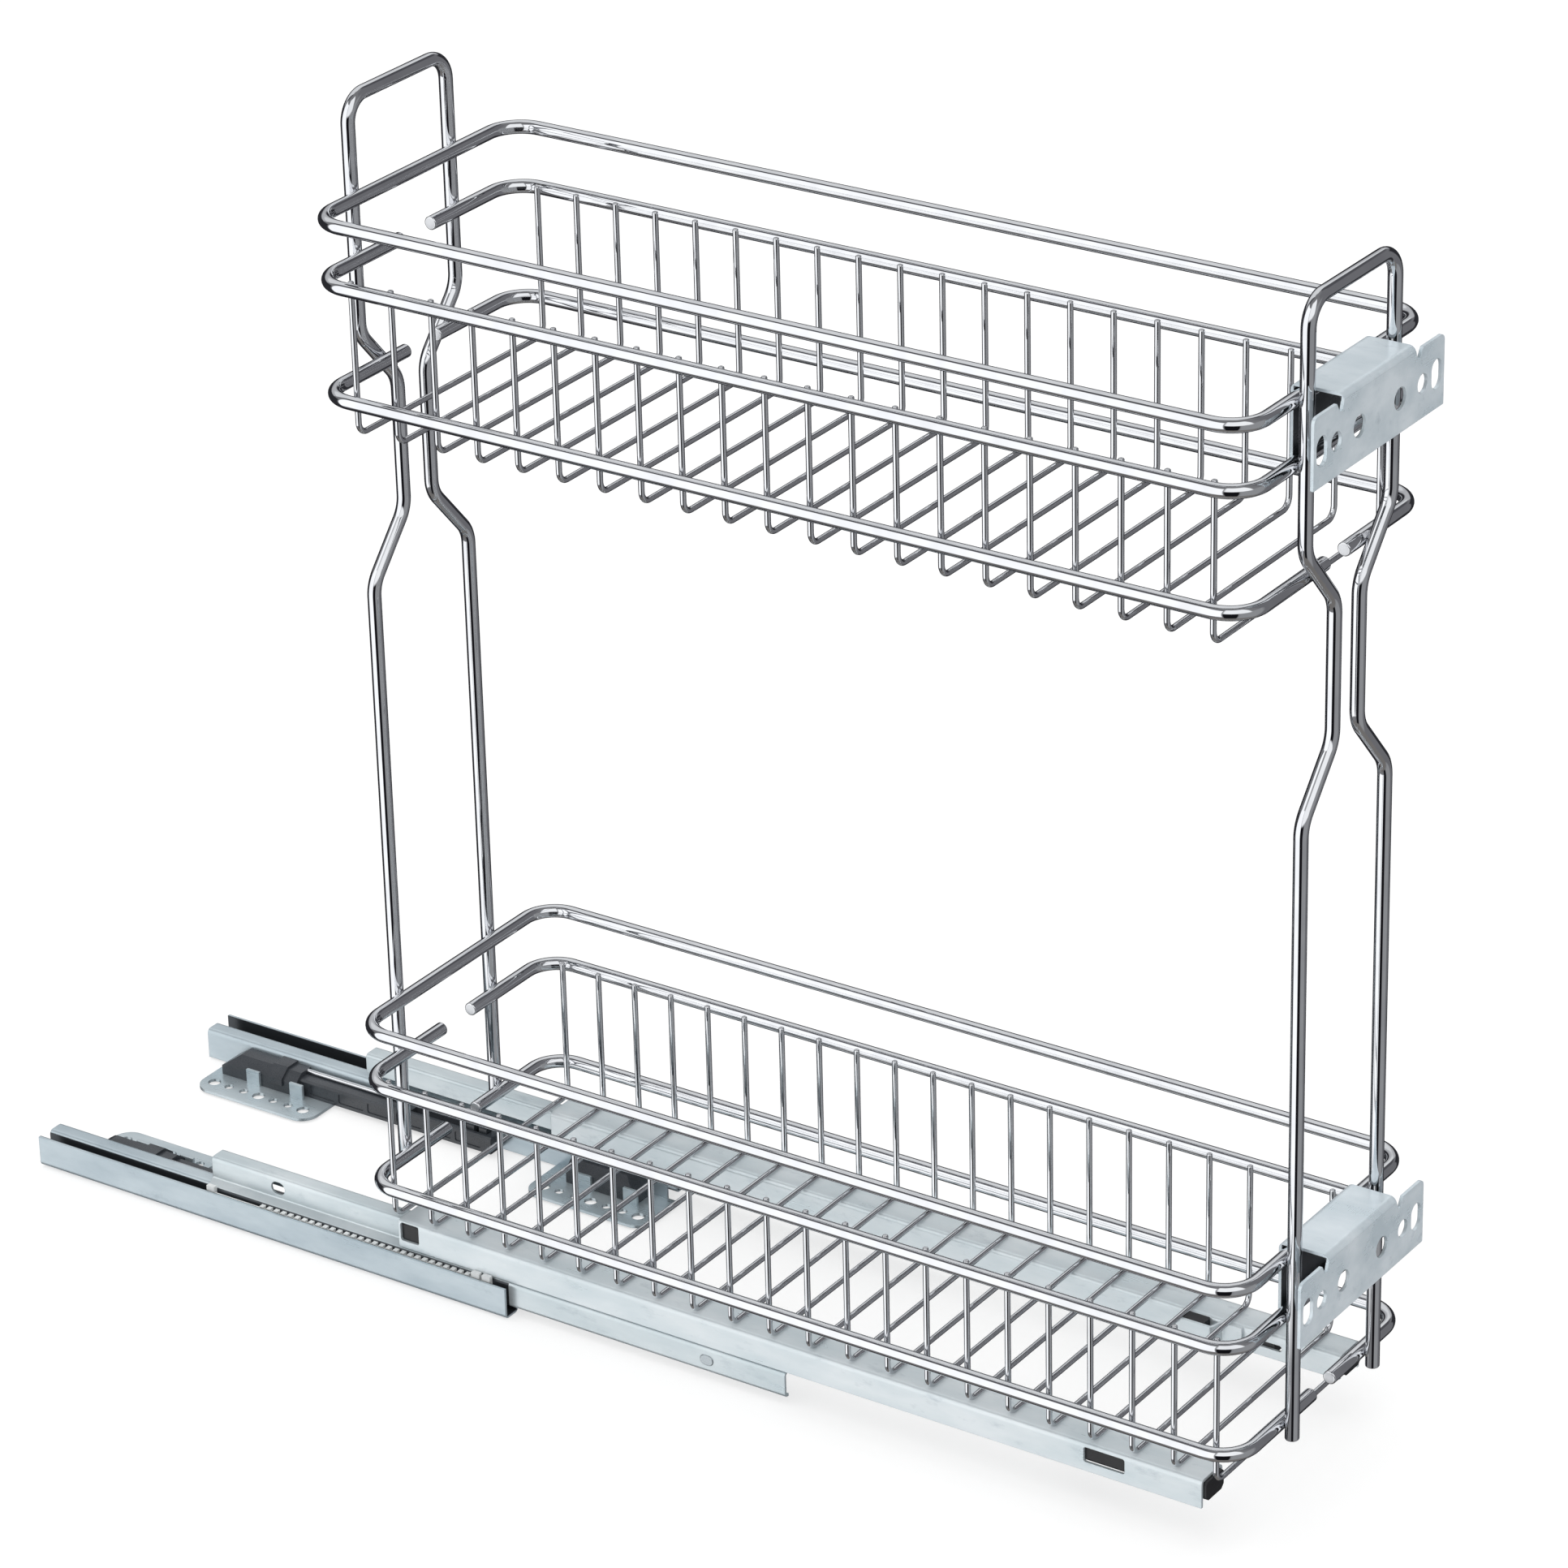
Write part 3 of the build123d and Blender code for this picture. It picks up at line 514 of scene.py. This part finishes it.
def pocket_mask(tree, pocket):
    """1 inside a pocket, which is spans of |x|, y and z."""
    coords = tree.nodes.new("ShaderNodeTexCoord")
    split = tree.nodes.new("ShaderNodeSeparateXYZ")
    tree.links.new(coords.outputs["Object"], split.inputs[0])
    away = math_node(tree, "ABSOLUTE", split.outputs["X"])
    values = (away, split.outputs["Y"], split.outputs["Z"])
    return product(tree, [span_mask(tree, value, *span) for value, span in zip(values, pocket)])


def make_zinc(name, shade, group=SHEET, pocket=None):
    """Pale blue-grey zinc plate on sheet, with painted shade inside its pocket."""
    metallic, roughness, dark, light = ZINC_SHADES[shade]
    material, tree, shader, effect = new_material(name, group, SHEET_RELIEF)
    shader.inputs["Metallic"].default_value = metallic
    colour = mixed(tree, effect.outputs["Cloud"], dark, light)
    colour = mixed(tree, effect.outputs["Stain"], colour, STAIN_TINT, "MULTIPLY")
    # Painted shade: the pocket is darkened to the shade colour
    if pocket is not None:
        colour = mixed(tree, pocket_mask(tree, pocket), colour, POCKET_SHADE)
    tree.links.new(colour, shader.inputs["Base Color"])
    rough = spread(tree, effect.outputs["Cloud"], 0, 1, *roughness)
    brushed = math_node(tree, "MULTIPLY", effect.outputs["Streak"], STREAK_ROUGHNESS)
    tree.links.new(math_node(tree, "ADD", rough, brushed), shader.inputs["Roughness"])
    return material


def make_track_zinc():
    """Zinc of the fixed rails, with painted shade in the ball track between outer wall and box."""
    low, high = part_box("fixed_rail_right")
    outer = high[0] - FIXED_SHEET
    across = (outer - TRACK_WIDTH - WALL_REACH, outer + WALL_REACH)
    track = (across, (-PAST_ALL, PAST_ALL), (low[2] + TRACK_FLOOR, PAST_ALL))
    return make_zinc("fixed_rail_zinc", "fixed_rail", pocket=track)


def make_middle_zinc():
    """Zinc of the middle rails, painted shade where they stand in the fixed rail's ball track."""
    low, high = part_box("fixed_rail_right")
    across = (high[0] - FIXED_SHEET - TRACK_WIDTH, PAST_ALL)
    track = (across, (low[1] + TRACK_FLOOR, PAST_ALL), (-PAST_ALL, high[2] + TRACK_RISE))
    return make_zinc("middle_rail_zinc", "middle_rail", pocket=track)


def make_bracket_zinc(node):
    """Zinc of a door bracket, with painted shade inside its folded channel."""
    low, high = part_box(node)
    inner = BRACKET_SHEET - FOLD_LIP
    neck = (-PAST_ALL, BRACKET_NECK / 2 + WALL_REACH)
    fold = (neck, (low[1] + inner, high[1] - inner), (-PAST_ALL, high[2] - inner))
    return make_zinc(f"{node}_zinc", "bracket", CROSS_SHEET, fold)


def make_plastic(name):
    """Moulded plastic between two shades, as rough as its grain."""
    dark, light, roughness = PLASTICS[name]
    material, tree, shader, effect = new_material(name, MOULDING, MOULDED_RELIEF)
    colour = mixed(tree, effect.outputs["Cloud"], dark, light)
    tree.links.new(colour, shader.inputs["Base Color"])
    rough = spread(tree, effect.outputs["Grain"], *GRAIN_SPAN, *roughness)
    tree.links.new(rough, shader.inputs["Roughness"])
    return material


CHROME = make_chrome("chrome_wire")
CUT_END = make_cut_end()

# By record slot
FINISHES = {
    "chrome_wire": CHROME,
    "zinc_sheet": make_zinc("slide_zinc", "slide"),
    "bright_steel": make_chrome("bright_rod"),
    "ball_steel": make_chrome("bearing_ball"),
    "grey_plastic": make_plastic("grey_plastic"),
    "black_plastic": make_plastic("black_plastic"),
    "white_plastic": make_plastic("white_plastic"),
}

# Sheet pieces with a zinc of their own, by a part of the node's name
MIDDLE_ZINC = make_middle_zinc()
SHEET_FINISHES = {
    "fixed_rail": make_track_zinc(),
    "middle_rail_left": MIDDLE_ZINC,
    "middle_rail_right": MIDDLE_ZINC,
    "base_plate": make_zinc("plate_zinc", "plate"),
    "middle_rivet": make_zinc("rivet_zinc", "rivet"),
    "upper_door_bracket": make_bracket_zinc("upper_door_bracket"),
    "lower_door_bracket": make_bracket_zinc("lower_door_bracket"),
}


def finish_packed_nodes():
    """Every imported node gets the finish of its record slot, some sheet pieces their own zinc."""
    for entry in frame["record"]["subparts"]:
        name = entry["node"]
        finish = FINISHES[entry["material_slot"]]
        for part_name, own_finish in SHEET_FINISHES.items():
            finish = own_finish if part_name in name else finish
        node = frame["nodes"][name]
        node.data.materials.clear()
        node.data.materials.append(finish)


# Wires


def dress_wire(wire):
    """Gives a new wire its materials, and lets it ride on the carriage."""
    wire.data.materials.append(CHROME)
    wire.data.materials.append(CUT_END)
    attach(wire, "carriage")


def rail_line(plan, node, closed=False):
    """Rounded line through points in plan, at the middle height of a packed rail."""
    low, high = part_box(node)
    level = (low[2] + high[2]) / 2
    return rounded_path([(x, y, level) for x, y in plan], RAIL_CORNER, closed)


def make_rails(basket):
    """Top, middle and bottom rails: tubes along a rectangle half a wire inside the rail's box.

    The top rail closes, the middle rail is open at the rear, and the bottom rail is two halves
    with a gap at the rear and at the front.
    """
    up = (0, 0, 1)
    low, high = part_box(f"{basket}_top_rail")
    r = THICK / 2
    left, right, front, rear = low[0] + r, high[0] - r, low[1] + r, high[1] - r
    plan = [(left, rear), (left, front), (right, front), (right, rear)]
    line = rail_line(plan, f"{basket}_top_rail", closed=True)
    top = tube_mesh(f"{basket}_top_rail_wire", [line], up, r, THICK_SIDES, closed=True)
    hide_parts(f"{basket}_top_rail")

    gap = MIDDLE_REAR_GAP / 2
    line = rail_line([(-gap, rear), *plan, (gap, rear)], f"{basket}_middle_rail")
    middle = tube_mesh(f"{basket}_middle_rail_wire", [line], up, r, THICK_SIDES)
    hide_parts(f"{basket}_middle_rail")

    pieces = [top, middle]
    for side, side_name in ((-1, "left"), (1, "right")):
        node = f"{basket}_bottom_rail_{side_name}"
        rear_end, front_end = side * BOTTOM_REAR_GAP / 2, side * BOTTOM_FRONT_GAP / 2
        x = side * right
        line = rail_line([(rear_end, rear), (x, rear), (x, front), (front_end, front)], node)
        bottom = tube_mesh(f"{node}_wire", [line], up, r, THICK_SIDES)
        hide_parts(node)
        pieces.append(bottom)
    for piece in pieces:
        dress_wire(piece)


def make_cross_wires(basket):
    """Thin wires, each a tube along a U across the basket, in equal steps from front to rear."""
    node = f"{basket}_cross_wires"
    low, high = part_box(node)
    r = THIN / 2
    x = high[0] - r
    floor, top = low[2] + r, high[2]
    lines = []
    for y in np.linspace(low[1] + r, high[1] - r, WIRE_COUNTS[basket]):
        points = [(-x, y, top), (-x, y, floor), (x, y, floor), (x, y, top)]
        lines.append(rounded_path(points, CROSS_BEND))
    wires = tube_mesh(f"{node}_thin", lines, (0, 1, 0), r, THIN_SIDES)
    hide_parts(node)
    dress_wire(wires)
    wires.visible_glossy = False


def make_end_frame(node):
    """Handle loop, legs and waist as one tube along a bent line, its left half mirrored."""
    low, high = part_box(node)
    r = THICK / 2
    y = (low[1] + high[1]) / 2
    leg = high[0] - r
    top = high[2] - r
    rail_low, rail_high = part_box("upper_bottom_rail_left")
    waist_top = (rail_low[2] + rail_high[2]) / 2 - WAIST_TOP_BELOW_RAIL
    waist_bottom = waist_top - WAIST_LENGTH
    right = [(leg, y, top), (leg, y, waist_top + JOG_HEIGHT), (WAIST_X, y, waist_top)]
    right += [(WAIST_X, y, waist_bottom), (leg, y, waist_bottom - JOG_HEIGHT), (leg, y, low[2])]
    left = [(-px, py, pz) for px, py, pz in reversed(right)]
    waist = [WAIST_BEND] * (len(right) - 1)
    line = rounded_path(left + right, [*waist, FRAME_BEND, FRAME_BEND, *waist])
    wire = tube_mesh(f"{node}_wire", [line], (0, 1, 0), r, THICK_SIDES)
    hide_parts(node)
    dress_wire(wire)


# Stage


def make_camera():
    """Camera of the photograph, found from the wires' places."""
    azimuth, elevation, roll = CAMERA_AZIMUTH, CAMERA_ELEVATION, CAMERA_ROLL
    level = np.array([math.cos(azimuth), math.sin(azimuth), 0.0])
    ahead = np.array([-math.sin(azimuth), math.cos(azimuth), 0.0])
    forward = ahead * math.cos(elevation) - np.array([0.0, 0.0, math.sin(elevation)])
    upright = np.cross(level, forward)
    right = math.cos(roll) * level + math.sin(roll) * upright
    up = -math.sin(roll) * level + math.cos(roll) * upright
    data = bpy.data.cameras.new("photo_camera")
    data.sensor_width = CAMERA_SENSOR
    data.lens = CAMERA_LENS
    data.clip_end = CAMERA_REACH
    camera = bpy.data.objects.new("photo_camera", data)
    matrix = np.eye(4)
    matrix[:3] = np.column_stack([right, up, -forward, CAMERA_PLACE])
    camera.matrix_world = Matrix(matrix.tolist())
    bpy.context.scene.collection.objects.link(camera)
    bpy.context.scene.camera = camera


def make_floor():
    """Large pale square just under the rails.

    Light that bounces meets FLOOR_COLOUR. The camera sees a darker floor that glows, so the
    object's shadow is faint. Glossy rays pass, so metal reflects the whole room.
    """
    half = FLOOR_HALF
    z = cad_box[0][2] - FLOOR_GAP
    corners = np.array([(-half, -half, z), (half, -half, z), (half, half, z), (-half, half, z)])
    floor = build_mesh("studio_floor", corners, np.array([[0, 1, 2, 3]]), smooth=False)
    material = bpy.data.materials.new("pale_floor")
    material.use_nodes = True
    tree = material.node_tree
    tree.nodes.clear()
    output = tree.nodes.new("ShaderNodeOutputMaterial")
    path = tree.nodes.new("ShaderNodeLightPath")
    glowing = tree.nodes.new("ShaderNodeAddShader")
    shade = plain_shader(tree, "ShaderNodeBsdfDiffuse", FLOOR_SEEN)
    tree.links.new(shade, glowing.inputs[0])
    lift = plain_shader(tree, "ShaderNodeEmission", WHITE, FLOOR_LIFT)
    tree.links.new(lift, glowing.inputs[1])
    pale = plain_shader(tree, "ShaderNodeBsdfDiffuse", FLOOR_COLOUR)
    seen = chosen(tree, path.outputs["Is Camera Ray"], pale, glowing.outputs[0])
    clear = plain_shader(tree, "ShaderNodeBsdfTransparent", WHITE)
    passed = chosen(tree, path.outputs["Is Glossy Ray"], seen, clear)
    tree.links.new(passed, output.inputs["Surface"])
    floor.data.materials.append(material)


def make_sky_lamp(name, azimuth, height, width, strength):
    """Broad soft lamp far away, angles in degrees, left out of mirror reflections."""
    data = bpy.data.lights.new(name, "SUN")
    data.energy = strength
    data.angle = math.radians(width)
    lamp = bpy.data.objects.new(name, data)
    lamp.rotation_euler = (math.radians(90 - height), 0.0, math.radians(azimuth + 90))
    lamp.visible_glossy = False
    bpy.context.scene.collection.objects.link(lamp)


def panel_mask(tree, azimuth, height, azimuths, heights, edge):
    """1 inside a span of azimuth and height, falling smoothly to 0 over the soft edge."""
    blur = math.radians(edge) / 2
    low, high = [math.radians(angle) for angle in heights]
    masks = []
    if azimuths[1] - azimuths[0] < 360:
        middle = math.radians(sum(azimuths) / 2)
        half = math.radians(azimuths[1] - azimuths[0]) / 2
        turned = math_node(tree, "SUBTRACT", azimuth, middle)
        away = math_node(tree, "ABSOLUTE", math_node(tree, "WRAP", turned, math.pi, -math.pi))
        masks.append(spread(tree, away, half - blur, half + blur, 1.0, 0.0))
    if heights[0] > -90:
        masks.append(spread(tree, height, low - blur, low + blur))
    if heights[1] < 90:
        masks.append(spread(tree, height, high - blur, high + blur, 1.0, 0.0))
    return product(tree, masks)


def make_world():
    """White for the camera, pale light for matt surfaces, a room of panels for reflections."""
    world = bpy.data.worlds.new("studio")
    bpy.context.scene.world = world
    world.use_nodes = True
    tree = world.node_tree
    tree.nodes.clear()
    output = tree.nodes.new("ShaderNodeOutputWorld")
    path = tree.nodes.new("ShaderNodeLightPath")
    coords = tree.nodes.new("ShaderNodeTexCoord")
    split = tree.nodes.new("ShaderNodeSeparateXYZ")
    tree.links.new(coords.outputs["Generated"], split.inputs[0])
    azimuth = math_node(tree, "ARCTAN2", split.outputs["Y"], split.outputs["X"])
    height = math_node(tree, "ARCSINE", split.outputs["Z"])
    colour = ROOM_GREY
    for name, azimuths, heights, edge, shade in ROOM_PANELS:
        mask = panel_mask(tree, azimuth, height, azimuths, heights, edge)
        colour = mixed(tree, mask, colour, shade)
        colour.node.name = name
    room = tree.nodes.new("ShaderNodeBackground")
    tree.links.new(colour, room.inputs["Color"])
    pale = plain_shader(tree, "ShaderNodeBackground", SKY_COLOUR, SKY_LIGHT)
    white = plain_shader(tree, "ShaderNodeBackground", WHITE)
    lit = chosen(tree, path.outputs["Is Glossy Ray"], pale, room.outputs[0])
    seen = chosen(tree, path.outputs["Is Camera Ray"], lit, white)
    tree.links.new(seen, output.inputs["Surface"])


def make_stage():
    """Floor, camera, lamps and world, with standard view colours."""
    bpy.context.scene.view_settings.view_transform = "Standard"
    make_camera()
    make_floor()
    make_world()
    for lamp in SKY_LAMPS:
        make_sky_lamp(*lamp)


finish_packed_nodes()
for basket_name in ("upper", "lower"):
    make_rails(basket_name)
    make_cross_wires(basket_name)
make_end_frame("front_frame")
make_end_frame("rear_frame")
make_stage()
